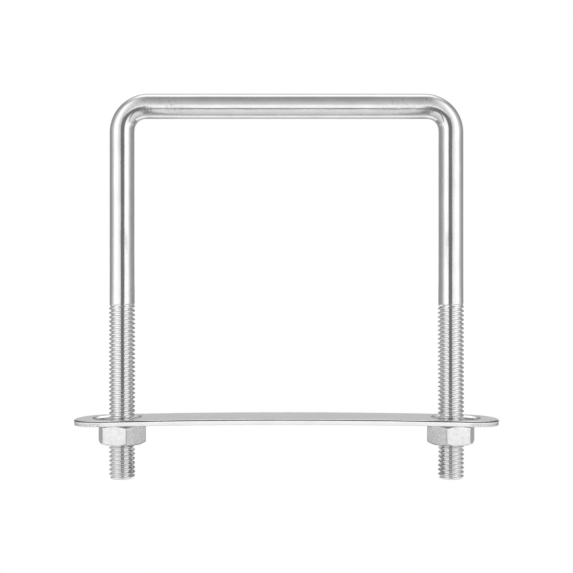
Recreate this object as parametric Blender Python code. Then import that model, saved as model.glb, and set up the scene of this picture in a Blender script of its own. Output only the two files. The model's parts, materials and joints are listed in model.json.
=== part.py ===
"""Square U-bolt in stainless steel: an M6 rod bent to a square U, a slotted strap plate and two hex nuts.

Frame: metres, +Z up. The origin is midway between the two leg tips. X runs from the left leg to the
right one, Y runs across the strap plate, and the legs stand along Z with the crossbar at the top.

The plate slides along both legs, and each nut turns about its own leg as it climbs the thread. The two
threads are right-handed, so a nut that turns anticlockwise seen from above rises by one pitch a turn.
"""

import math

import bmesh
import bpy
from mathutils import Matrix, Vector

MM = 0.001
MERGE_DISTANCE = 0.001 * MM

# The bent rod
INNER_WIDTH = 70.0 * MM
HEIGHT = 88.4 * MM
SHANK_RADIUS = 2.85 * MM
BEND_RADIUS = 6.1 * MM  # to the middle of the rod
LEG_X = INNER_WIDTH / 2 + SHANK_RADIUS
SHANK_SIDES = 24
BEND_STEPS = 8

# The M6 x 1 thread, rolled, so its crests stand a little outside the shank
PITCH = 1.0 * MM
CREST_RADIUS = 2.975 * MM
ROOT_RADIUS = 2.43 * MM
CREST_FLAT = 0.2 * MM
THREAD_LENGTH = 40.2 * MM
THREAD_SIDES = 16
THREAD_START = math.radians(5)  # keeps the thread's facets out of line with the shank's
TIP_RADIUS = 2.65 * MM
TIP_CHAMFER = 0.55 * MM

# The hex nuts
NUT_ACROSS_FLATS = 10.0 * MM
NUT_HEIGHT = 4.6 * MM
NUT_CHAMFER_RADIUS = 4.75 * MM  # of the flat ring left on each end face
NUT_CHAMFER_ANGLE = math.radians(30)
NUT_TURN = math.radians(18.2)  # the nearest corner's turn from straight ahead, towards the plate's middle
THREAD_GAP = 0.11 * MM  # radial, between a nut's thread and its leg's
NUT_THREAD_FLAT = 0.12 * MM
COUNTERSINK_RADIUS = 3.25 * MM

# The strap plate
PLATE_LENGTH = 97.6 * MM
PLATE_WIDTH = 13.0 * MM
PLATE_THICKNESS = 1.3 * MM
PLATE_END_BULGE = PLATE_WIDTH / 2  # how far each curved end stands past the straight edges: a half circle
PLATE_BOW = 0.68 * MM  # the middle is this much higher than the ends
BOW_STRIPS = 9  # odd, so the middle strip is level
END_STEPS = 16
SLOT_X = 39.0 * MM
SLOT_LENGTH = 10.4 * MM
SLOT_WIDTH = 7.0 * MM
SLOT_STEPS = 10
PLATE_EDGE_ROUND = 0.2 * MM

# Where the pieces sit at rest
PLATE_Z = 12.65 * MM  # the plate's underside beside the legs
NUT_GAP = 0.3 * MM
NUT_Z = PLATE_Z - NUT_GAP - NUT_HEIGHT

SMOOTH_ANGLE = math.radians(32)
SIDES = {"left": -1, "right": 1}


def clear_scene():
    for obj in list(bpy.data.objects):
        bpy.data.objects.remove(obj, do_unlink=True)


def steel(name, colour, roughness):
    material = bpy.data.materials.new(name)
    material.use_nodes = True
    shader = material.node_tree.nodes["Principled BSDF"]
    shader.inputs["Base Color"].default_value = (*colour, 1)
    shader.inputs["Metallic"].default_value = 1
    shader.inputs["Roughness"].default_value = roughness
    return material


def add_object(name, bm, location=(0, 0, 0)):
    """A new object from a bmesh whose points are counted from the location."""
    bmesh.ops.recalc_face_normals(bm, faces=bm.faces)
    mesh = bpy.data.meshes.new(name)
    bm.to_mesh(mesh)
    bm.free()
    obj = bpy.data.objects.new(name, mesh)
    obj.location = location
    bpy.context.scene.collection.objects.link(obj)
    return obj


def add_boolean(obj, operation, other):
    modifier = obj.modifiers.new(operation.title(), "BOOLEAN")
    modifier.operation = operation
    modifier.solver = "EXACT"
    modifier.object = other


def settle(obj, helpers):
    """Applies the object's modifiers, merges stray points, and removes the shapes that they used."""
    bpy.context.view_layer.update()
    graph = bpy.context.evaluated_depsgraph_get()
    mesh = bpy.data.meshes.new_from_object(obj.evaluated_get(graph))
    obj.modifiers.clear()
    obj.data = mesh
    bm = bmesh.new()
    bm.from_mesh(mesh)
    bmesh.ops.remove_doubles(bm, verts=bm.verts, dist=MERGE_DISTANCE)
    bmesh.ops.dissolve_degenerate(bm, edges=bm.edges, dist=MERGE_DISTANCE)
    bm.to_mesh(mesh)
    bm.free()
    for helper in helpers:
        bpy.data.objects.remove(helper, do_unlink=True)


def finish_piece(obj, material):
    obj.data.name = obj.name
    obj.data.materials.clear()
    obj.data.materials.append(material)
    obj.data.shade_smooth()
    obj.data.set_sharp_from_angle(angle=SMOOTH_ANGLE)


def turned(bm, outline, sides):
    """Turns an outline of (radius, height) points, which starts and ends on the axis, about Z."""
    verts = [bm.verts.new((radius, 0, height)) for radius, height in outline]
    edges = [bm.edges.new(pair) for pair in zip(verts, verts[1:])]
    bmesh.ops.spin(
        bm,
        geom=verts + edges,
        cent=(0, 0, 0),
        axis=(0, 0, 1),
        angle=2 * math.pi,
        steps=sides,
    )
    bmesh.ops.remove_doubles(bm, verts=bm.verts, dist=MERGE_DISTANCE)


def thread_profile(gap, root_flat):
    """One pitch of thread as (radius, height) points, moved out by a radial gap, its roots cut flat."""
    slope = (CREST_RADIUS - ROOT_RADIUS) / ((PITCH - CREST_FLAT) / 2)
    root_radius = ROOT_RADIUS + gap + slope * root_flat / 2
    crest_radius = CREST_RADIUS + gap
    profile = [
        (root_radius, root_flat / 2),
        (crest_radius, (PITCH - CREST_FLAT) / 2),
        (crest_radius, (PITCH + CREST_FLAT) / 2),
        (root_radius, PITCH - root_flat / 2),
    ]
    if root_flat:
        profile.append((root_radius, PITCH + root_flat / 2))
    return profile


def threaded_bar(bm, profile, turns):
    """A closed right-handed helical solid about Z, whose first turn starts at height 0."""
    turn = Matrix.Rotation(THREAD_START, 3, "Z")
    verts = [bm.verts.new(turn @ Vector((radius, 0, height))) for radius, height in profile]
    edges = [bm.edges.new(pair) for pair in zip(verts, verts[1:])]
    bmesh.ops.spin(
        bm,
        geom=verts + edges,
        cent=(0, 0, 0),
        axis=(0, 0, 1),
        dvec=(0, 0, PITCH / THREAD_SIDES),
        angle=2 * math.pi * turns,
        steps=THREAD_SIDES * turns,
    )
    bmesh.ops.remove_doubles(bm, verts=bm.verts, dist=MERGE_DISTANCE)
    bottom = bm.verts.new((0, 0, 0))
    top = bm.verts.new((0, 0, PITCH * (turns + 1)))
    for edge in [edge for edge in bm.edges if edge.is_boundary]:
        below = edge.verts[0].co.z < PITCH * turns / 2
        bm.faces.new((*edge.verts, bottom if below else top))


def threaded_leg(side):
    """The leg's thread, with a chamfered tip, reaching a little way up inside the shank."""
    spare = 2  # turns below the tip, cut away
    bm = bmesh.new()
    turns = math.ceil(THREAD_LENGTH / PITCH) + 2 * spare
    threaded_bar(bm, thread_profile(0, 0), turns)
    location = Vector((SIDES[side] * LEG_X, 0, -spare * PITCH))
    leg = add_object(f"{side}_leg_thread", bm, location)

    outer = CREST_RADIUS + 0.2 * MM
    cone_height = TIP_CHAMFER * (outer - TIP_RADIUS) / (CREST_RADIUS - TIP_RADIUS)
    blank = bmesh.new()
    turned(
        blank,
        [
            (0, 0),
            (TIP_RADIUS, 0),
            (outer, cone_height),
            (outer, THREAD_LENGTH),
            (0, THREAD_LENGTH),
        ],
        SHANK_SIDES,
    )
    blank = add_object(f"{side}_leg_blank", blank, (SIDES[side] * LEG_X, 0, 0))
    add_boolean(leg, "INTERSECT", blank)
    settle(leg, [blank])
    return leg


def extrude_ring(bm, ring, offset):
    """Extrudes a ring of edges, and gives the new ring."""
    geometry = bmesh.ops.extrude_edge_only(bm, edges=ring)["geom"]
    bmesh.ops.translate(
        bm,
        verts=[item for item in geometry if isinstance(item, bmesh.types.BMVert)],
        vec=offset,
    )
    return [item for item in geometry if isinstance(item, bmesh.types.BMEdge)]


def bend_ring(bm, ring, centre):
    """Bends a ring of edges a quarter turn clockwise about a line along Y, and gives the new ring."""
    verts = list({vert for edge in ring for vert in edge.verts})
    last = bmesh.ops.spin(
        bm,
        geom=verts + ring,
        cent=centre,
        axis=(0, 1, 0),
        angle=math.pi / 2,
        steps=BEND_STEPS,
    )["geom_last"]
    return [item for item in last if isinstance(item, bmesh.types.BMEdge)]


def bent_shank(name):
    """The plain part of the rod: up from the left thread, across, and down to the right one."""
    bottom = THREAD_LENGTH - 0.3 * MM
    bend_z = HEIGHT - SHANK_RADIUS - BEND_RADIUS
    bend_x = LEG_X - BEND_RADIUS
    bm = bmesh.new()
    bmesh.ops.create_circle(
        bm,
        segments=SHANK_SIDES,
        radius=SHANK_RADIUS,
        matrix=Matrix.Translation((-LEG_X, 0, bottom)),
    )
    start = bm.edges[:]
    ring = extrude_ring(bm, start, (0, 0, bend_z - bottom))
    ring = bend_ring(bm, ring, (-bend_x, 0, bend_z))
    ring = extrude_ring(bm, ring, (2 * bend_x, 0, 0))
    ring = bend_ring(bm, ring, (bend_x, 0, bend_z))
    ring = extrude_ring(bm, ring, (0, 0, bottom - bend_z))
    bmesh.ops.remove_doubles(bm, verts=bm.verts, dist=MERGE_DISTANCE)
    bmesh.ops.holes_fill(bm, edges=bm.edges, sides=0)
    return add_object(name, bm)


def make_rod(material):
    rod = bent_shank("u_rod")
    legs = [threaded_leg(side) for side in SIDES]
    for leg in legs:
        add_boolean(rod, "UNION", leg)
    settle(rod, legs)
    finish_piece(rod, material)
    return rod


def plate_outline():
    """The plate's outline as (x, y) points, anticlockwise: two arcs joined by the straight long edges."""
    half_width = PLATE_WIDTH / 2
    end_radius = (half_width**2 + PLATE_END_BULGE**2) / (2 * PLATE_END_BULGE)
    centre_x = PLATE_LENGTH / 2 - end_radius
    half_angle = math.asin(half_width / end_radius)
    points = []
    for sign in (1, -1):
        for step in range(END_STEPS + 1):
            angle = half_angle * (2 * step / END_STEPS - 1)
            x = centre_x + end_radius * math.cos(angle)
            y = end_radius * math.sin(angle)
            points.append((sign * x, sign * y))
    return points


def slot_outline():
    """A slot's outline about its own middle: two half circles joined by straight sides."""
    radius = SLOT_WIDTH / 2
    centre_x = SLOT_LENGTH / 2 - radius
    points = []
    for sign in (1, -1):
        for step in range(SLOT_STEPS + 1):
            angle = math.pi * (step / SLOT_STEPS - 0.5)
            x = centre_x + radius * math.cos(angle)
            points.append((sign * x, sign * radius * math.sin(angle)))
    return points


def slab(name, outline, thickness, location):
    """An outline in the XY plane, extruded up."""
    bm = bmesh.new()
    bm.faces.new([bm.verts.new((x, y, 0)) for x, y in outline])
    top = bmesh.ops.extrude_face_region(bm, geom=bm.faces[:])["geom"]
    verts = [item for item in top if isinstance(item, bmesh.types.BMVert)]
    bmesh.ops.translate(bm, verts=verts, vec=(0, 0, thickness))
    return add_object(name, bm, location)


def bow_height(x):
    """The bowed plate's height at x above its height at the legs, straight within each strip."""
    radius = (PLATE_LENGTH / 2) ** 2 / (2 * PLATE_BOW)
    strip = PLATE_LENGTH / BOW_STRIPS
    inner = (math.floor(abs(x) / strip - 0.5) + 0.5) * strip if abs(x) > strip / 2 else -strip / 2
    share = (abs(x) - inner) / strip
    height = [-(edge**2) / (2 * radius) for edge in (inner, inner + strip)]
    return height[0] + share * (height[1] - height[0]) + LEG_X**2 / (2 * radius)


def bow_plate(plate):
    """Cuts the flat plate across into strips and lifts them to a shallow arch."""
    bm = bmesh.new()
    bm.from_mesh(plate.data)
    strip = PLATE_LENGTH / BOW_STRIPS
    for index in range(1, BOW_STRIPS):
        bmesh.ops.bisect_plane(
            bm,
            geom=bm.verts[:] + bm.edges[:] + bm.faces[:],
            plane_co=(index * strip - PLATE_LENGTH / 2, 0, 0),
            plane_no=(1, 0, 0),
            dist=MERGE_DISTANCE,
        )
    for vert in bm.verts:
        vert.co.z += bow_height(vert.co.x)
    bm.to_mesh(plate.data)
    bm.free()


def make_plate(material):
    plate = slab("strap_plate", plate_outline(), PLATE_THICKNESS, (0, 0, PLATE_Z))
    slots = []
    for side, sign in SIDES.items():
        location = (sign * SLOT_X, 0, PLATE_Z - PLATE_THICKNESS)
        slot = slab(f"{side}_slot", slot_outline(), 3 * PLATE_THICKNESS, location)
        add_boolean(plate, "DIFFERENCE", slot)
        slots.append(slot)
    edge_round = plate.modifiers.new("Edge round", "BEVEL")
    edge_round.width = PLATE_EDGE_ROUND
    edge_round.segments = 2
    edge_round.limit_method = "ANGLE"
    edge_round.angle_limit = math.radians(60)
    settle(plate, slots)
    bow_plate(plate)
    finish_piece(plate, material)
    return plate


def nut_blank(name, location, corner_angle):
    """A hexagonal prism with the corners of both ends turned away."""
    bm = bmesh.new()
    corner_radius = NUT_ACROSS_FLATS / math.sqrt(3)
    corners = [corner_angle + index * math.pi / 3 for index in range(6)]
    outline = [(corner_radius * math.cos(a), corner_radius * math.sin(a)) for a in corners]
    bm.faces.new([bm.verts.new((x, y, 0)) for x, y in outline])
    top = bmesh.ops.extrude_face_region(bm, geom=bm.faces[:])["geom"]
    verts = [item for item in top if isinstance(item, bmesh.types.BMVert)]
    bmesh.ops.translate(bm, verts=verts, vec=(0, 0, NUT_HEIGHT))
    nut = add_object(name, bm, location)

    outer = corner_radius + 1 * MM
    drop = (outer - NUT_CHAMFER_RADIUS) * math.tan(NUT_CHAMFER_ANGLE)
    cone = bmesh.new()
    turned(
        cone,
        [
            (0, 0),
            (NUT_CHAMFER_RADIUS, 0),
            (outer, drop),
            (outer, NUT_HEIGHT - drop),
            (NUT_CHAMFER_RADIUS, NUT_HEIGHT),
            (0, NUT_HEIGHT),
        ],
        SHANK_SIDES * 2,
    )
    cone = add_object(f"{name}_chamfer", cone, location)
    add_boolean(nut, "INTERSECT", cone)
    settle(nut, [cone])
    return nut


def tap(name, side):
    """The shape a nut's thread leaves: the leg's thread made a little larger, in step with it."""
    first_turn = math.floor(NUT_Z / PITCH) - 2
    bm = bmesh.new()
    profile = thread_profile(THREAD_GAP, NUT_THREAD_FLAT)
    threaded_bar(bm, profile, math.ceil(NUT_HEIGHT / PITCH) + 4)
    return add_object(name, bm, (SIDES[side] * LEG_X, 0, first_turn * PITCH))


def countersink(name, location):
    """Two cones, point to point at the nut's middle, which open both ends of its thread."""
    bm = bmesh.new()
    over = 0.5 * MM
    middle = NUT_HEIGHT / 2
    core = COUNTERSINK_RADIUS - middle
    turned(
        bm,
        [
            (0, -over),
            (COUNTERSINK_RADIUS + over, -over),
            (core, middle),
            (COUNTERSINK_RADIUS + over, NUT_HEIGHT + over),
            (0, NUT_HEIGHT + over),
        ],
        SHANK_SIDES,
    )
    return add_object(name, bm, location)


def make_nut(side, plate, material):
    name = f"hex_nut_{side}"
    sign = SIDES[side]
    location = Vector((sign * LEG_X, 0, NUT_Z))
    nut = nut_blank(name, location, -math.pi / 2 - sign * NUT_TURN)
    cutters = [tap(f"{name}_tap", side), countersink(f"{name}_countersink", location)]
    for cutter in cutters:
        add_boolean(nut, "DIFFERENCE", cutter)
    settle(nut, cutters)
    finish_piece(nut, material)
    nut.parent = plate
    nut.location = location - plate.location
    return nut


def main():
    clear_scene()
    rod_steel = steel("rod_steel", (0.72, 0.72, 0.73), 0.24)
    plate_steel = steel("plate_steel", (0.74, 0.74, 0.75), 0.3)
    nut_steel = steel("nut_steel", (0.70, 0.70, 0.71), 0.32)
    make_rod(rod_steel)
    plate = make_plate(plate_steel)
    for side in SIDES:
        make_nut(side, plate, nut_steel)


main()
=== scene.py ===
"""The looks of the square U-bolt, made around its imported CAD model.

Four pieces stand for the four CAD nodes: the bent rod with its two rolled threads, the punched strap plate
and the two hex nuts. Each is one closed mesh. Sizes are in metres; the places come from the CAD model.
The helix formula of the rod's thread also shapes the nuts' threads, so they run in step.
"""

import json
import math

import bmesh
import bpy
import numpy as np
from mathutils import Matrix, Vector, noise
from mathutils.geometry import delaunay_2d_cdt


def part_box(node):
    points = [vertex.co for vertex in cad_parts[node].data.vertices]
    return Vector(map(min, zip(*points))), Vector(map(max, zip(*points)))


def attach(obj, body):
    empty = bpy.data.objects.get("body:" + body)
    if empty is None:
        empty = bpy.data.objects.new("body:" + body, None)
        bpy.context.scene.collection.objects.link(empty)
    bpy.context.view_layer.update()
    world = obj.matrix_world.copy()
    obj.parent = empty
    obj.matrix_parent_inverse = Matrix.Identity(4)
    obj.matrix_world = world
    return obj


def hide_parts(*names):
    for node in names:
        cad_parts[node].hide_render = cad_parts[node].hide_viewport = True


MM = 0.001
TURN = 2 * math.pi
WELD = 1e-4 * MM

# The bent rod
SHANK_RADIUS = 2.85 * MM
BEND_RADIUS = 6.1 * MM  # to the middle of the rod
BEND_PRESS = 0.29 * MM  # how far the bend's inner side is pressed in
SHANK_SIDES = 72
BEND_STEPS = 40
BAR_STEPS = 170
LEG_STEPS = 90
WAVE = 0.006 * MM  # the drawn surface's unevenness
DENT = 0.005 * MM  # the bending tool's marks on the front of the bar

# The rolled thread
PITCH = 1.0 * MM
ROOT_RADIUS = 2.46 * MM
CREST_FLAT = 0.30 * MM
FLANK_SLOPE = 1.732  # radial fall for each millimetre along the leg
THREAD_ROUND = 0.03 * MM
THREAD_TOP = 40.4 * MM
THREAD_FADE = 1.6 * MM
THREAD_START = math.radians(5)
THREAD_ROWS = 11  # to each pitch
TIP_RADIUS = 2.65 * MM
TIP_CHAMFER = 0.55 * MM
TIP_ROUND = 0.07 * MM
TIP_BLEND = 0.04 * MM  # how softly the tip's chamfer meets the thread
TIP_RINGS = ((1, TIP_ROUND), (0.972, 0), (0.6, 0), (0.2, 0))  # share of the radius there, and height

# The hex nuts
ACROSS_FLATS = 10.0 * MM
NUT_HEIGHT = 4.6 * MM
CHAMFER_RADIUS = 4.72 * MM
CHAMFER_SLOPE = math.tan(math.radians(30))
CORNER_ROUND = 0.22 * MM
NUT_EDGE = 0.07 * MM
NUT_TURN = math.radians(18.2)  # the nearest corner's turn from straight ahead
NUT_GAP = 0.3 * MM  # between the CAD nuts and the plate
NUT_SEAT = 0.09 * MM  # the bowed plate bears on the nut's outer edge
NUT_ROWS = 14  # of the bore's points, to each pitch
THREAD_GAP = 0.1 * MM
COUNTERSINK_RADIUS = 3.3 * MM
PAINTED_CORNER_SHADE_REACH = math.radians(2.2)  # the painted shade line's reach to each side of a corner

# The strap plate
SLOT_X = 39.0 * MM
SLOT_LENGTH = 10.4 * MM
SLOT_WIDTH = 7.0 * MM
SLOT_TAPER = 0.2 * MM  # how much further each side of a slot stands out at the top
PLATE_THICKNESS = 1.3 * MM
PLATE_BOW = 0.68 * MM
OUTLINE_SPACING = 0.16 * MM
FACE_SPACING = 1.6 * MM
FACE_WAVE = 0.012 * MM
SLOT_TEAR = 0.15  # how torn a slot's wall is, where a punched end's is 1
TORN_ROWS = 9
TORN_START = 0.54  # in mm below the top face, as is the next
TORN_END = 1.20
PAINTED_SHADE_MASK = -1.8  # the mask's value in the painted shade line under the roll-over, a near-black band painted there
# A punched wall from the top face down to its bright sheared band, in mm: (inset, depth below the top, mask).
ROLL_OVER = (
    (0.55, 0.0, 0.0),
    (0.44, 0.0, 0.0),
    (0.32, 0.010, 1.0),
    (0.22, 0.040, 1.0),
    (0.13, 0.095, 0.6),
    # These two rows carry the painted shade line: a near-black band under the roll-over.
    (0.085, 0.130, PAINTED_SHADE_MASK),
    (0.01, 0.310, PAINTED_SHADE_MASK),
    (0.0, 0.360, 0.0),
)
# The same for the slots, whose top edges are broken with a slanting bevel.
SLOT_BEVEL = (
    (0.75, 0.0, 0.0),
    (0.62, 0.0, 0.0),
    (0.52, 0.035, 1.0),
    (0.30, 0.190, 1.0),
    (0.10, 0.330, 1.0),
    (0.03, 0.410, 0.5),
    (0.0, 0.480, 0.0),
)

# The studio
LENS = 64.1
CAMERA_DISTANCE = 0.235
CAMERA_HEIGHT = 44.07 * MM
# Brightness by the angle of a direction over the object, in degrees from the front: 90 is overhead.
OVER_BANDS = (
    (-170, 0.30),
    (-20, 1.45),
    (-4, 1.45),
    (4, 1.24),
    (11, 0.88),
    (30, 0.75),
    (42, 0.56),
    (72, 0.43),
    (88, 0.48),
    (97, 1.60),
    (112, 1.60),
    (125, 1.45),
    (134, 0.95),
    (143, 0.30),
    (162, 0.22),
    (169, 0.86),
    (177, 0.86),
)
# Brightness of level directions, from 0 in front to 1 behind.
LEVEL_BANDS = (
    (0.0, 1.5),
    (0.36, 1.7),
    (0.42, 0.95),
    (0.50, 0.74),
    (0.57, 0.46),
    (0.82, 0.40),
    (0.97, 0.30),
)
FLOOR_REACH = 1.5
BAND_REACH = 0.4  # how far the floor's bands go, to the front and to the back
# Brightness across those bands, from 0 in front to 1 behind.
FLOOR_BANDS = (
    (0.0, 1.45),
    (0.22, 1.45),
    (0.265, 1.10),
    (0.30, 1.90),
    (0.366, 1.90),
    (0.377, 0.95),
    (0.41, 1.07),
    (0.44, 1.05),
    (0.4625, 0.92),
    (0.49, 0.90),
    (0.5275, 0.90),
    (0.545, 1.5),
    (0.565, 1.4),
    (0.59, 0.80),
    (0.75, 0.75),
    (0.82, 0.45),
)
# The flags before each leg, in mm.
FLAG_Y = -10
FLAG_EDGES = (0.5, -5.2)  # outwards from the leg's axis
FLAG_HEIGHTS = (("upper", 14.2, 84), ("lower", -1, 7.6))


# ---------------------------------------------------------------- meshes


def add_piece(name, skin, material):
    """A closed, smooth-shaded mesh object from a skin, its doubled points merged."""
    mesh = bpy.data.meshes.new(name)
    mesh.from_pydata(skin.points, [], skin.faces)
    layer = mesh.attributes.new("straight", "FLOAT_VECTOR", "POINT")
    layer.data.foreach_set("vector", np.asarray(skin.straight, np.float32).ravel())
    layer = mesh.attributes.new("mask", "FLOAT", "POINT")
    layer.data.foreach_set("value", np.asarray(skin.mask, np.float32))
    bm = bmesh.new()
    bm.from_mesh(mesh)
    bmesh.ops.remove_doubles(bm, verts=bm.verts, dist=WELD)
    bmesh.ops.recalc_face_normals(bm, faces=bm.faces)
    bm.to_mesh(mesh)
    bm.free()
    mesh.shade_smooth()
    mesh.materials.append(material)
    obj = bpy.data.objects.new(name, mesh)
    bpy.context.scene.collection.objects.link(obj)
    return obj


class Skin:
    """A surface's points and faces, gathered ring by ring, with two values for the materials at each point:
    its place on the straightened piece, and a mask that each material explains."""

    def __init__(self):
        self.points = []
        self.faces = []
        self.straight = []
        self.mask = []

    def add(self, point, straight, mask):
        self.points.append(tuple(point))
        self.straight.append(tuple(straight))
        self.mask.append(mask)
        return len(self.points) - 1

    def join(self, ring, other):
        """Faces between two closed rings of point numbers."""
        count = len(ring)
        for index in range(count):
            after = (index + 1) % count
            self.faces.append((ring[index], ring[after], other[after], other[index]))

    def join_all(self, rings):
        for ring, other in zip(rings, rings[1:]):
            self.join(ring, other)


def smooth_min(a, b, width):
    share = np.clip(0.5 + 0.5 * (b - a) / width, 0, 1)
    return b + (a - b) * share - width * share * (1 - share)


def smooth_max(a, b, width):
    return -smooth_min(-a, -b, width)


def smooth_step(value, low, high):
    share = min(max((value - low) / (high - low), 0), 1)
    return share * share * (3 - 2 * share)


def ripple(x, y, z, seed=0.0):
    """Smooth noise from -1 to 1, whose waves are about one unit long."""
    return noise.noise(Vector((x + seed, y - seed, z + 2 * seed)))


# ---------------------------------------------------------------- the rod


def thread_radius(angle, height):
    """The rolled thread's radius at an angle about its leg and a height. It is right-handed."""
    turns = height / PITCH - (angle - THREAD_START) / TURN
    from_crest = abs(turns % 1 - 0.5) * PITCH
    flank = CREST_RADIUS + (CREST_FLAT / 2 - from_crest) * FLANK_SLOPE
    return smooth_max(smooth_min(flank, CREST_RADIUS, THREAD_ROUND), ROOT_RADIUS, THREAD_ROUND)


def leg_radius(angle, height):
    """The leg's radius up to its thread's top: chamfered at the tip, and fading into the shank."""
    depth = smooth_step(THREAD_TOP - height, 0, THREAD_FADE)
    radius = SHANK_RADIUS + (thread_radius(angle, height) - SHANK_RADIUS) * depth
    cone = TIP_RADIUS + (CREST_RADIUS - TIP_RADIUS) * height / TIP_CHAMFER
    return smooth_min(radius, cone, TIP_BLEND)


def add_thread(skin, leg_x):
    """One leg's thread, its rows of points following the helix, closed at the tip."""
    angles = [TURN * step / SHANK_SIDES for step in range(SHANK_SIDES)]
    rows = []
    for row in range(-THREAD_ROWS, math.ceil(THREAD_TOP / PITCH + 1) * THREAD_ROWS + 1):
        ring = []
        for angle in angles:
            height = PITCH * (row / THREAD_ROWS + (angle - THREAD_START) / TURN)
            height = min(max(height, TIP_ROUND), THREAD_TOP)
            radius = leg_radius(angle, height)
            x, y = radius * math.cos(angle), radius * math.sin(angle)
            root = (CREST_RADIUS - radius) / (CREST_RADIUS - ROOT_RADIUS)
            on_thread = smooth_step(THREAD_TOP - height, 0, THREAD_FADE)
            ring.append(skin.add((leg_x + x, y, height), (x, y, height), root * on_thread))
        rows.append(ring)
    for index in range(len(rows) - 1):
        lower, upper = rows[index], rows[index + 1]
        for step in range(SHANK_SIDES - 1):
            skin.faces.append((lower[step], lower[step + 1], upper[step + 1], upper[step]))
        if index + 1 + THREAD_ROWS < len(rows):
            next_lower = rows[index + THREAD_ROWS]
            next_upper = rows[index + 1 + THREAD_ROWS]
            skin.faces.append((lower[-1], next_lower[0], next_upper[0], upper[-1]))
    tip = []
    for share, height in TIP_RINGS:
        ring = []
        for angle in angles:
            radius = leg_radius(angle, TIP_ROUND) * share
            x, y = radius * math.cos(angle), radius * math.sin(angle)
            ring.append(skin.add((leg_x + x, y, height), (x, y, height), 0.0))
        tip.append(ring)
    skin.join_all(tip)
    skin.faces.append(tuple(tip[-1]))


def rod_path():
    """The plain rod's rings from the left thread to the right one: (middle, outwards, bend, length)."""
    bend_x = LEG_X - BEND_RADIUS
    bend_z = HEIGHT - SHANK_RADIUS - BEND_RADIUS
    leg_length = bend_z - THREAD_TOP
    bend_length = BEND_RADIUS * math.pi / 2
    stops = []
    for step in range(LEG_STEPS):
        rise = leg_length * step / LEG_STEPS
        stops.append(((-LEG_X, 0, THREAD_TOP + rise), (-1, 0, 0), 0.0, rise))
    for step in range(BEND_STEPS):
        angle = math.pi / 2 * step / BEND_STEPS
        out = Vector((-math.cos(angle), 0, math.sin(angle)))
        middle = Vector((-bend_x, 0, bend_z)) + BEND_RADIUS * out
        stops.append((middle, out, angle, leg_length + BEND_RADIUS * angle))
    bar_start = leg_length + bend_length
    for step in range(BAR_STEPS // 2 + 1):
        along = bend_x * 2 * step / BAR_STEPS
        middle = (along - bend_x, 0, HEIGHT - SHANK_RADIUS)
        stops.append((middle, (0, 0, 1), 0.0, bar_start + along))
    whole = 2 * stops[-1][3]
    for middle, out, angle, length in stops[-2::-1]:
        mirrored = (-middle[0], 0, middle[2])
        stops.append((mirrored, (-out[0], 0, out[2]), angle, whole - length))
    return stops


def rod_radius(angle, middle, bend, length):
    """The plain rod's radius: pressed in on a bend's inner side, and a little uneven."""
    inner = ((1 - math.cos(angle)) / 2) ** 2
    radius = SHANK_RADIUS - BEND_PRESS * math.sin(2 * bend) ** 2 * inner
    across, up = math.cos(angle), math.sin(angle)
    wave = ripple(length / (7 * MM), 1.4 * across, 1.4 * up, 3.1)
    wave += 0.5 * ripple(length / (2.6 * MM), 2.5 * across, 2.5 * up, 7.7)
    fade = smooth_step(middle[2], THREAD_TOP, THREAD_TOP + 2 * MM)
    return radius + WAVE * wave * fade


def press_marks(angle, middle, out):
    """How strongly the bending tool has marked the rod, 0 to 1: on the front, beside each bend."""
    front = smooth_step(-math.sin(angle), 0.55, 0.95)
    beside = smooth_step(abs(middle[0]), 20 * MM, 27 * MM)
    beside *= 1 - smooth_step(abs(middle[0]), 32 * MM, 36 * MM)
    return front * beside * smooth_step(out[2], 0.6, 0.95)


def make_rod():
    skin = Skin()
    for leg_x in (-LEG_X, LEG_X):
        add_thread(skin, leg_x)
    rings = []
    for middle, out, bend, length in rod_path():
        ring = []
        for step in range(SHANK_SIDES):
            angle = TURN * step / SHANK_SIDES
            marks = press_marks(angle, middle, out)
            radius = rod_radius(angle, middle, bend, length)
            if marks > 0:
                spot = Vector(middle) / MM + Vector((0, 0, 3 * angle))
                dents = ripple(0.9 * spot.x, 1.3 * spot.z, 0, 5.0)
                dents += 0.6 * ripple(2 * spot.x, 2.6 * spot.z, 0, 9.0)
                radius += DENT * marks * dents
            side = Vector(out) * math.cos(angle) + Vector((0, 1, 0)) * math.sin(angle)
            straight = (radius * math.cos(angle), radius * math.sin(angle), THREAD_TOP + length)
            ring.append(skin.add(Vector(middle) + radius * side, straight, -marks))
        rings.append(ring)
    skin.join_all(rings)
    return add_piece("bent_rod", skin, rod_material())


# ---------------------------------------------------------------- the nuts


def hex_radius(offset):
    """The hexagon's radius at an angle from its nearest corner, the corner rounded."""
    offset = abs(offset)
    middle = (ACROSS_FLATS / 2 - CORNER_ROUND) / math.cos(math.pi / 6)
    reach = math.atan2(CORNER_ROUND / 2, middle + CORNER_ROUND * math.cos(math.pi / 6))
    if offset < reach:
        rounding = math.sqrt(CORNER_ROUND**2 - (middle * math.sin(offset)) ** 2)
        return middle * math.cos(offset) + rounding
    return ACROSS_FLATS / 2 / math.cos(math.pi / 6 - offset)


def sector_offsets():
    """Angles from a corner across one sixth of the nut, closer together at the corner."""
    flats = [math.radians(30 - 28.4 * share / 14) for share in range(14)]
    corner = [math.radians(1.6 - 0.4 * step) for step in range(4)]
    half = flats + corner
    return [-value for value in half] + [0.0] + half[:0:-1]


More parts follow.
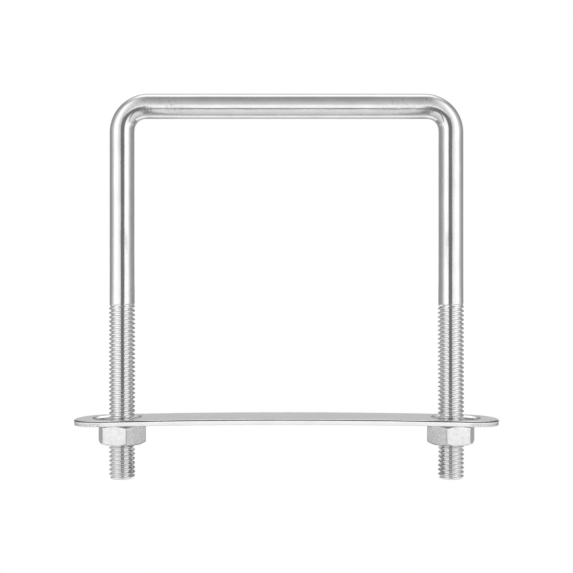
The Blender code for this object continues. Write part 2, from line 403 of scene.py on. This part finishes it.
def nut_profile(offset):
    """The outside at an angle from a corner, from an end face over the chamfer to the flat:
    (radius, depth below that end, mask)."""
    radius = hex_radius(offset)
    drop = (radius - CHAMFER_RADIUS) * CHAMFER_SLOPE
    # A painted shade line down each corner.
    painted_corner_shade = smooth_step(abs(offset), 0.0, PAINTED_CORNER_SHADE_REACH) - 1
    return [
        (CHAMFER_RADIUS * 0.93 - NUT_EDGE, 0.0, 0.0),
        (CHAMFER_RADIUS - NUT_EDGE, 0.0, 0.0),
        (CHAMFER_RADIUS, 0.012 * MM, 0.5),
        (CHAMFER_RADIUS + NUT_EDGE, NUT_EDGE * CHAMFER_SLOPE + 0.004 * MM, 0.2),
        (radius - NUT_EDGE, drop - NUT_EDGE * CHAMFER_SLOPE, 0.4),
        (radius - 0.02 * MM, drop + 0.015 * MM, 1.0),
        (radius, drop + NUT_EDGE, 0.3),
        (radius, drop + 3 * NUT_EDGE, painted_corner_shade),
    ]


def make_nut(side, corner_angle):
    skin = Skin()
    top = PLATE_UNDERSIDE - NUT_SEAT
    bottom = top - NUT_HEIGHT
    axis = Vector((LEG_X if side == "right" else -LEG_X, 0, 0))
    offsets = sector_offsets() * 6
    angles = []
    for corner in range(6):
        angles += [corner_angle + corner * math.pi / 3 + offset for offset in sector_offsets()]

    def ring(places):
        """A ring of points from the (radius, height, mask) at each angle."""
        numbers = []
        for angle, (radius, height, worn) in zip(angles, places):
            x, y = radius * math.cos(angle), radius * math.sin(angle)
            numbers.append(skin.add(axis + Vector((x, y, height)), (x, y, height), worn))
        return numbers

    def bore_radius(angle, height):
        inner = thread_radius(angle, height) + THREAD_GAP
        from_end = min(height - bottom, top - height)
        return max(inner, COUNTERSINK_RADIUS - from_end)

    outside = list(zip(*(nut_profile(offset) for offset in offsets)))
    rings = []
    for row in outside:
        rings.append(ring([(radius, bottom + depth, worn) for radius, depth, worn in row]))
    for row in reversed(outside):
        rings.append(ring([(radius, bottom + (NUT_HEIGHT - depth), worn) for radius, depth, worn in row]))
    levels = math.ceil(NUT_HEIGHT / PITCH * NUT_ROWS)
    for level in range(levels + 1):
        height = top - NUT_HEIGHT * level / levels
        rings.append(ring([(bore_radius(angle, height), height, 0.0) for angle in angles]))
    skin.join_all(rings)
    skin.join(rings[-1], rings[0])
    return add_piece(f"{side}_nut", skin, nut_material(side))


# ---------------------------------------------------------------- the strap plate


def bow(x):
    """The shallow arch: how far the plate stands here above its height beside the legs."""
    radius = (PLATE_LENGTH / 2) ** 2 / (2 * PLATE_BOW)
    return (LEG_X**2 - x**2) / (2 * radius)


def plate_outline(spacing):
    """The plate's outline, anticlockwise: (point, outward direction, whether on a punched end)."""
    half_width = PLATE_WIDTH / 2
    centre_x = PLATE_LENGTH / 2 - half_width
    points = []
    end_steps = round(math.pi * half_width / spacing)
    edge_steps = round(2 * centre_x / (2.5 * spacing))
    for sign in (1, -1):
        for step in range(end_steps):
            angle = math.pi * (step / end_steps - 0.5)
            out = Vector((math.cos(angle), math.sin(angle))) * sign
            points.append((Vector((centre_x, 0)) * sign + out * half_width, out, 1.0))
        for step in range(edge_steps):
            x = centre_x - 2 * centre_x * step / edge_steps
            near_end = smooth_step(abs(x), centre_x - 1.5 * MM, centre_x)
            points.append((Vector((x, half_width)) * sign, Vector((0, 1)) * sign, near_end))
    return points


def slot_outline(middle_x, spacing):
    """A slot's outline, clockwise, so that the directions point out of the metal, into the slot."""
    radius = SLOT_WIDTH / 2
    reach = SLOT_LENGTH / 2 - radius
    points = []
    arc_steps = round(math.pi * radius / spacing)
    side_steps = round(2 * reach / spacing)
    for sign in (1, -1):
        for step in range(arc_steps):
            angle = math.pi * (0.5 - step / arc_steps)
            out = Vector((math.cos(angle), math.sin(angle))) * sign
            points.append((Vector((middle_x + sign * reach, 0)) + radius * out, -out, SLOT_TEAR))
        for step in range(side_steps):
            x = sign * (reach - 2 * reach * step / side_steps)
            points.append((Vector((middle_x + x, -sign * radius)), Vector((0, sign)), SLOT_TEAR))
    return points


def torn_band(outline, seed):
    """The rough lower part of a punched wall, as rows of (inset, depth below the top, mask)."""
    rows = []
    for row in range(TORN_ROWS + 1):
        share = row / TORN_ROWS
        places = []
        for point, _, end in outline:
            x, y = point / MM
            start = TORN_START + 0.08 * end * ripple(2.2 * x, 2.2 * y, 0, seed)
            start += 0.11 * end * max(ripple(5 * x, 5 * y, 0, seed + 4), 0)
            depth = start + (TORN_END - start) * share
            rough = ripple(6 * x, 6 * y, 2.2 * depth, seed + 1)
            rough += 0.6 * ripple(11 * x, 11 * y, 5 * depth, seed + 2)
            bite = 0.05 * share + (0.065 + 0.07 * rough) * min(4 * share, 1) * end
            places.append((bite * MM, depth * MM, -end * min(4 * share, 1)))
        rows.append(places)
    return rows


def burr(outline, seed):
    """The small teeth of metal at a punched wall's foot, as one row of torn_band's kind."""
    places = []
    for point, _, end in outline:
        x, y = point / MM
        tooth = max(ripple(3.1 * x, 3.1 * y, 0, seed + 7), 0) * end
        depth = PLATE_THICKNESS + 0.06 * tooth * MM - 0.02 * MM
        places.append(((0.10 - 0.04 * tooth) * MM, depth, -0.5 * end))
    return places


def add_wall(skin, outline, seed, taper):
    """The wall under an outline. A slot has a taper, which widens it at the top, and a bevel in place of
    the rolled-over edge and the painted shade line under it. Gives the wall's first and last rings."""
    rows = []
    for inset, depth, worn in SLOT_BEVEL if taper else ROLL_OVER:
        rows.append([(inset * MM, depth * MM, worn)] * len(outline))
    rows += torn_band(outline, seed)
    rows.append(burr(outline, seed))
    for inset in (0.22, 0.55):
        rows.append([(inset * MM, PLATE_THICKNESS, 0.0)] * len(outline))
    rings = []
    for row in rows:
        ring = []
        for (point, out, _), (inset, depth, worn) in zip(outline, row):
            x, y = point - out * (inset + taper * (1 - max(depth, 0) / PLATE_THICKNESS))
            z = PLATE_UNDERSIDE + PLATE_THICKNESS - depth + bow(x)
            ring.append(skin.add((x, y, z), (x, y, z), worn))
        rings.append(ring)
    skin.join_all(rings)
    return rings[0], rings[-1]


def fill_face(skin, loops, height, taper):
    """Fills one broad face between the walls' rings with even triangles."""
    flat, numbers, edges = [], [], []
    for loop in loops:
        first = len(flat)
        for number in loop:
            x, y, z = skin.points[number]
            flat.append(Vector((x, y)))
            numbers.append(number)
        edges += [(first + i, first + (i + 1) % len(loop)) for i in range(len(loop))]
    step = FACE_SPACING
    reach_x, reach_y = int(PLATE_LENGTH / 2 / step), int(PLATE_WIDTH / 2 / step)
    for column in range(-reach_x, reach_x + 1):
        for row in range(-reach_y, reach_y + 1):
            x, y = column * step, row * step + 0.3 * step * (column % 2)
            if inside_metal(x, y, 1.5 * MM, 0):
                flat.append(Vector((x, y)))
                z = height + bow(x) + FACE_WAVE * ripple(x / (9 * MM), y / (6 * MM), 0, 2.0)
                numbers.append(skin.add((x, y, z), (x, y, z), 0.0))
    points, _, triangles, originals, _, _ = delaunay_2d_cdt(flat, edges, [], 0, 1e-9)
    for triangle in triangles:
        middle = sum((points[corner] for corner in triangle), Vector((0, 0))) / 3
        if inside_metal(middle.x, middle.y, 0.53 * MM, taper):
            skin.faces.append(tuple(numbers[originals[corner][0]] for corner in triangle))


def inside_metal(x, y, margin, taper):
    """Whether a point of a broad face is at least this far from the outline and the slots."""
    half_width = PLATE_WIDTH / 2
    if math.hypot(max(abs(x) - (PLATE_LENGTH / 2 - half_width), 0), y) > half_width - margin:
        return False
    reach = (SLOT_LENGTH - SLOT_WIDTH) / 2
    return math.hypot(max(abs(abs(x) - SLOT_X) - reach, 0), y) > SLOT_WIDTH / 2 + margin + taper


def make_plate():
    skin = Skin()
    tops, bottoms = [], []
    outlines = [plate_outline(OUTLINE_SPACING)]
    outlines += [slot_outline(middle_x, OUTLINE_SPACING) for middle_x in (-SLOT_X, SLOT_X)]
    for seed, outline in enumerate(outlines):
        top, bottom = add_wall(skin, outline, 11.0 * (seed + 1), SLOT_TAPER if seed else 0)
        tops.append(top)
        bottoms.append(bottom)
    fill_face(skin, tops, PLATE_UNDERSIDE + PLATE_THICKNESS, SLOT_TAPER + 0.2 * MM)
    fill_face(skin, bottoms, PLATE_UNDERSIDE, 0)
    return add_piece("slotted_strap", skin, plate_material())


# ---------------------------------------------------------------- materials


def add_node(tree, kind, inputs=None, **settings):
    node = tree.nodes.new(kind)
    for key, value in settings.items():
        setattr(node, key, value)
    for key, value in (inputs or {}).items():
        if isinstance(value, bpy.types.NodeSocket):
            tree.links.new(value, node.inputs[key])
        else:
            node.inputs[key].default_value = value
    return node


def maths(tree, operation, first, second=0.0, third=0.0):
    inputs = {0: first, 1: second, 2: third}
    return add_node(tree, "ShaderNodeMath", inputs, operation=operation).outputs[0]


def grain(tree, place, stretch, scale, detail=3.0, roughness=0.55):
    """Noise from 0 to 1 with this many features to the millimetre, stretched along an axis."""
    scaling = {0: place, 1: [value * scale / MM for value in stretch]}
    scaled = add_node(tree, "ShaderNodeVectorMath", scaling, operation="MULTIPLY")
    inputs = {"Vector": scaled.outputs[0], "Scale": 1.0, "Detail": detail, "Roughness": roughness}
    return add_node(tree, "ShaderNodeTexNoise", inputs).outputs[0]


def spread(tree, value, low, high, to_low, to_high):
    inputs = {"Value": value, "From Min": low, "From Max": high, "To Min": to_low, "To Max": to_high}
    return add_node(tree, "ShaderNodeMapRange", inputs).outputs[0]


def blend(tree, share, first, second):
    """A mix of two colours, each a socket or a colour with alpha."""
    inputs = {0: share, 6: first, 7: second}
    return add_node(tree, "ShaderNodeMix", inputs, data_type="RGBA").outputs[2]


def grey(value):
    return (value, value, value, 1)


def bump(tree, height, distance, before=None):
    inputs = {"Height": height, "Distance": distance}
    if before is not None:
        inputs["Normal"] = before
    return add_node(tree, "ShaderNodeBump", inputs).outputs[0]


def new_material(name):
    material = bpy.data.materials.new(name)
    material.use_nodes = True
    tree = material.node_tree
    shader = tree.nodes["Principled BSDF"]
    shader.inputs["Metallic"].default_value = 1.0
    return material, tree, shader


def attribute(tree, name, output):
    return add_node(tree, "ShaderNodeAttribute", attribute_name=name).outputs[output]


def rod_material():
    """Bright drawn steel: drawing lines, faint blotches, tool marks by the bends, and painted light in the
    thread's grooves.
    The mask is above 0 in the thread's grooves and below 0 on the tool marks."""
    material, tree, shader = new_material("drawn_steel")
    place = attribute(tree, "straight", "Vector")
    mask = attribute(tree, "mask", "Fac")
    lines = grain(tree, place, (1, 1, 0.03), 5.0, 4.0)
    fine_lines = grain(tree, place, (1, 1, 0.012), 14.0, 2.0)
    blotches = grain(tree, place, (1, 1, 0.5), 0.35, 3.0)
    pits = grain(tree, place, (1, 1, 0.8), 2.6, 3.0, 0.65)
    # Share of the thread's flanks and roots, which get painted light and a smoother finish.
    flank = spread(tree, mask, 0.02, 0.15, 0.0, 1.0)
    marks = maths(tree, "MAXIMUM", maths(tree, "MULTIPLY", mask, -1.0), 0.0)
    cloud = spread(tree, blotches, 0.3, 0.7, 0, 1)
    clean = blend(tree, cloud, (0.60, 0.60, 0.605, 1), (0.68, 0.68, 0.685, 1))
    # Painted light: the thread's flanks and roots get a lighter colour, which offsets the shade in its
    # grooves.
    colour = blend(tree, flank, clean, grey(0.76))
    nicks = maths(tree, "MULTIPLY", marks, spread(tree, pits, 0.52, 0.65, 0.0, 0.3))
    colour = blend(tree, nicks, colour, grey(0.25))
    tree.links.new(colour, shader.inputs["Base Color"])
    rough = spread(tree, lines, 0.3, 0.7, 0.12, 0.2)
    rough = maths(tree, "ADD", rough, maths(tree, "MULTIPLY", marks, 0.03))
    rough = maths(tree, "MULTIPLY", rough, spread(tree, flank, 0.0, 1.0, 1.0, 0.5))
    tree.links.new(rough, shader.inputs["Roughness"])
    relief = bump(tree, lines, 0.0012 * MM)
    relief = bump(tree, fine_lines, 0.0006 * MM, relief)
    pitting = maths(tree, "ADD", marks, 0.03)
    pitted = maths(tree, "MULTIPLY", pitting, spread(tree, pits, 0.35, 0.6, 0, 1))
    relief = bump(tree, pitted, 0.009 * MM, relief)
    tree.links.new(relief, shader.inputs["Normal"])
    return material


def plate_material():
    """Satin rolled strip: fine grain along it, bright rolled-over edge, torn punched walls, and a painted
    shade line under the roll-over.
    The mask is above 0 where the edge is worn, down to -1 where it is torn, and below -1 in the painted shade
    line."""
    material, tree, shader = new_material("rolled_steel")
    place = attribute(tree, "straight", "Vector")
    mask = attribute(tree, "mask", "Fac")
    rolling = grain(tree, place, (0.03, 1, 1), 4.0, 4.0)
    cloud = grain(tree, place, (0.6, 1, 1), 0.25, 3.0)
    crumbs = grain(tree, place, (1, 1, 0.6), 5.0, 4.0, 0.65)
    torn = spread(tree, mask, 0.0, -1.0, 0.0, 1.0)
    # Share of the painted shade line under the roll-over.
    painted_shade_line = spread(tree, mask, -1.0, -1.6, 0.0, 0.95)
    worn = maths(tree, "MAXIMUM", mask, 0.0)
    share = spread(tree, cloud, 0.3, 0.7, 0, 1)
    colour = blend(tree, share, (0.76, 0.76, 0.765, 1), (0.82, 0.82, 0.825, 1))
    dirt = maths(tree, "MULTIPLY", torn, spread(tree, crumbs, 0.4, 0.6, 0, 0.9))
    colour = blend(tree, dirt, colour, (0.4, 0.4, 0.405, 1))
    # Painted shade: a near-black band draws the dark line under the roll-over.
    colour = blend(tree, painted_shade_line, colour, grey(0.06))
    tree.links.new(colour, shader.inputs["Base Color"])
    rough = spread(tree, rolling, 0.3, 0.7, 0.26, 0.36)
    rough = maths(tree, "SUBTRACT", rough, maths(tree, "MULTIPLY", worn, 0.1))
    tree.links.new(rough, shader.inputs["Roughness"])
    relief = bump(tree, rolling, 0.0015 * MM)
    relief = bump(tree, maths(tree, "MULTIPLY", torn, crumbs), 0.05 * MM, relief)
    tree.links.new(relief, shader.inputs["Normal"])
    return material


def nut_material(side):
    """Satin steel faintly mottled by tumbling, smoother on its worn edges, with painted shade lines down its
    corners.
    The mask is above 0 on the worn edges and below 0 along the painted corner shade lines."""
    material, tree, shader = new_material(f"tumbled_steel_{side}")
    place = attribute(tree, "straight", "Vector")
    mask = attribute(tree, "mask", "Fac")
    mottle = grain(tree, place, (1, 1, 1), 1.3, 4.0, 0.6)
    specks = grain(tree, place, (1, 1, 1), 6.0, 3.0, 0.6)
    share = spread(tree, mottle, 0.32, 0.68, 0, 1)
    colour = blend(tree, share, (0.66, 0.66, 0.665, 1), (0.78, 0.78, 0.785, 1))
    # Painted shade: dark lines down the corners.
    corner = spread(tree, mask, 0.0, -1.0, 0.0, 0.8)
    worn = maths(tree, "MAXIMUM", mask, 0.0)
    colour = blend(tree, corner, colour, grey(0.22))
    tree.links.new(colour, shader.inputs["Base Color"])
    rough = spread(tree, mottle, 0.3, 0.7, 0.34, 0.24)
    rough = maths(tree, "SUBTRACT", rough, maths(tree, "MULTIPLY", worn, 0.08))
    tree.links.new(rough, shader.inputs["Roughness"])
    relief = bump(tree, mottle, 0.007 * MM)
    relief = bump(tree, specks, 0.002 * MM, relief)
    tree.links.new(relief, shader.inputs["Normal"])
    return material


# ---------------------------------------------------------------- the studio


def gradient(tree, value, stops):
    """A grey value that follows stops of (position, brightness), by a colour ramp."""
    node = add_node(tree, "ShaderNodeValToRGB", {"Fac": value})
    ramp = node.color_ramp
    while len(ramp.elements) > 1:
        ramp.elements.remove(ramp.elements[-1])
    ramp.elements[0].position = stops[0][0]
    ramp.elements[0].color = grey(stops[0][1])
    for position, brightness in stops[1:]:
        element = ramp.elements.new(position)
        element.color = grey(brightness)
    return node.outputs[0]


def make_world():
    """White for the camera. For reflections, soft bands go over the object from the front to the back."""
    world = bpy.data.worlds.new("studio")
    bpy.context.scene.world = world
    world.use_nodes = True
    tree = world.node_tree
    tree.nodes.clear()
    direction = add_node(tree, "ShaderNodeTexCoord").outputs["Generated"]
    parts = add_node(tree, "ShaderNodeSeparateXYZ", {0: direction}).outputs
    forward = maths(tree, "MULTIPLY", parts[1], -1.0)
    # Over the object: 0 in front, a quarter turn overhead, half a turn behind.
    arc = maths(tree, "ARCTAN2", parts[2], forward)
    stops = [(degrees / 360 + 0.5, brightness) for degrees, brightness in OVER_BANDS]
    over = gradient(tree, maths(tree, "MULTIPLY_ADD", arc, 1 / TURN, 0.5), stops)
    # Level: 0 straight ahead, half a turn behind, the same to both sides.
    sideways = maths(tree, "ABSOLUTE", parts[0])
    around = maths(tree, "ARCTAN2", sideways, forward)
    level = gradient(tree, maths(tree, "MULTIPLY", around, 1 / math.pi), LEVEL_BANDS)
    share = spread(tree, sideways, 0.25, 0.6, 0.0, 1.0)
    colour = blend(tree, share, over, level)
    camera = add_node(tree, "ShaderNodeLightPath").outputs["Is Camera Ray"]
    seen = blend(tree, camera, colour, grey(1))
    background = add_node(tree, "ShaderNodeBackground", {"Color": seen, "Strength": 1.0})
    output = add_node(tree, "ShaderNodeOutputWorld")
    tree.links.new(background.outputs[0], output.inputs[0])


def stage_plane(name, corners, material):
    mesh = bpy.data.meshes.new(name)
    mesh.from_pydata(corners, [], [(0, 1, 2, 3)])
    mesh.materials.append(material)
    obj = bpy.data.objects.new(name, mesh)
    bpy.context.scene.collection.objects.link(obj)
    return obj


def glow_material(name, brightness):
    material = bpy.data.materials.new(name)
    material.use_nodes = True
    tree = material.node_tree
    tree.nodes.clear()
    glow = add_node(tree, "ShaderNodeEmission", {"Color": grey(brightness)})
    output = add_node(tree, "ShaderNodeOutputMaterial")
    tree.links.new(glow.outputs[0], output.inputs[0])
    return material, tree, glow, output


def make_floor():
    """A pale light table: white to the camera, and clear from below so that the underside shows."""
    material, tree, glow, output = glow_material("light_table", 1.0)
    place = add_node(tree, "ShaderNodeTexCoord").outputs["Object"]
    depth = add_node(tree, "ShaderNodeSeparateXYZ", {0: place}).outputs[1]
    lit = gradient(tree, spread(tree, depth, -BAND_REACH, BAND_REACH, 0, 1), FLOOR_BANDS)
    camera = add_node(tree, "ShaderNodeLightPath").outputs["Is Camera Ray"]
    tree.links.new(blend(tree, camera, lit, grey(1)), glow.inputs["Color"])
    clear = add_node(tree, "ShaderNodeBsdfTransparent")
    below = add_node(tree, "ShaderNodeNewGeometry").outputs["Backfacing"]
    mix = add_node(tree, "ShaderNodeMixShader", {0: below, 1: glow.outputs[0], 2: clear.outputs[0]})
    tree.links.new(mix.outputs[0], output.inputs[0])
    reach = FLOOR_REACH
    corners = [(-reach, -reach, 0), (reach, -reach, 0), (reach, reach, 0), (-reach, reach, 0)]
    stage_plane("floor", corners, material)


def level_card(name, left, right, front, back, height, material):
    """A level card, its edges and height in mm."""
    corners = [(left, front, height), (right, front, height), (right, back, height), (left, back, height)]
    return stage_plane(name, [tuple(value * MM for value in corner) for corner in corners], material)


def make_cards():
    """Cards that only reflections see: narrow black ones before each leg, which draw the dark line down it,
    one before the bar, one under the plate, and pale ones on the floor outside the legs."""
    black = glow_material("flag_black", 0.24)[0]
    pale = glow_material("card_grey", 0.42)[0]
    cards = [
        level_card("bar_strip", -48, 48, -58, -37, 58, black),
        level_card("under_shade", -34, 34, -3, 11.5, 0.4, black),
    ]
    for side, sign in (("left", -1), ("right", 1)):
        outer, inner = [sign * (LEG_X + edge * MM) for edge in FLAG_EDGES]
        for level, low, high in FLAG_HEIGHTS:
            places = ((outer, low), (inner, low), (inner, high), (outer, high))
            corners = [(x, FLAG_Y * MM, height * MM) for x, height in places]
            cards.append(stage_plane(f"{side}_{level}_flag", corners, black))
        ends = sorted((sign * 46, sign * 260))
        cards.append(level_card(f"{side}_floor_card", *ends, 26, 220, 0.4, pale))
    for card in cards:
        card.visible_camera = False


def make_camera():
    data = bpy.data.cameras.new("camera")
    data.sensor_width = 36
    data.lens = LENS
    data.clip_start = 0.01
    camera = bpy.data.objects.new("camera", data)
    camera.location = (0, -CAMERA_DISTANCE, CAMERA_HEIGHT)
    camera.rotation_euler = (math.pi / 2, 0, 0)
    bpy.context.scene.collection.objects.link(camera)
    bpy.context.scene.camera = camera


# ---------------------------------------------------------------- the scene

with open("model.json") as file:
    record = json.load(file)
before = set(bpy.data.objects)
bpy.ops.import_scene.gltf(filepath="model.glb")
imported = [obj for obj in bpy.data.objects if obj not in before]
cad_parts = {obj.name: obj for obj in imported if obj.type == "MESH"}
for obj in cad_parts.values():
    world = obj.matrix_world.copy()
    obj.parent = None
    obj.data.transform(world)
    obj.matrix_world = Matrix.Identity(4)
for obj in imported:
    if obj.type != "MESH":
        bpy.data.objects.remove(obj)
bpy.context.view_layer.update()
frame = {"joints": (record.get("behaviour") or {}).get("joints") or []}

joints = {joint["name"]: joint for joint in frame["joints"]}
LEG_X = joints["nut_right_spin"]["pos_m"][0]
_, rod_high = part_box("u_rod")
HEIGHT = rod_high.z
CREST_RADIUS = rod_high.y
plate_low, plate_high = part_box("strap_plate")
PLATE_LENGTH = plate_high.x - plate_low.x
PLATE_WIDTH = plate_high.y - plate_low.y
PLATE_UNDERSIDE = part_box("hex_nut_left")[1].z + NUT_GAP  # beside the legs

make_camera()
make_world()
make_floor()
make_cards()

rod = make_rod()
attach(rod, "rod")
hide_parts("u_rod")

strap = make_plate()
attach(strap, "plate")
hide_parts("strap_plate")

for side, sign in (("left", -1), ("right", 1)):
    nut = make_nut(side, -math.pi / 2 - sign * NUT_TURN)
    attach(nut, f"nut_{side}")
    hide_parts(f"hex_nut_{side}")

bpy.context.scene.view_settings.view_transform = "Standard"
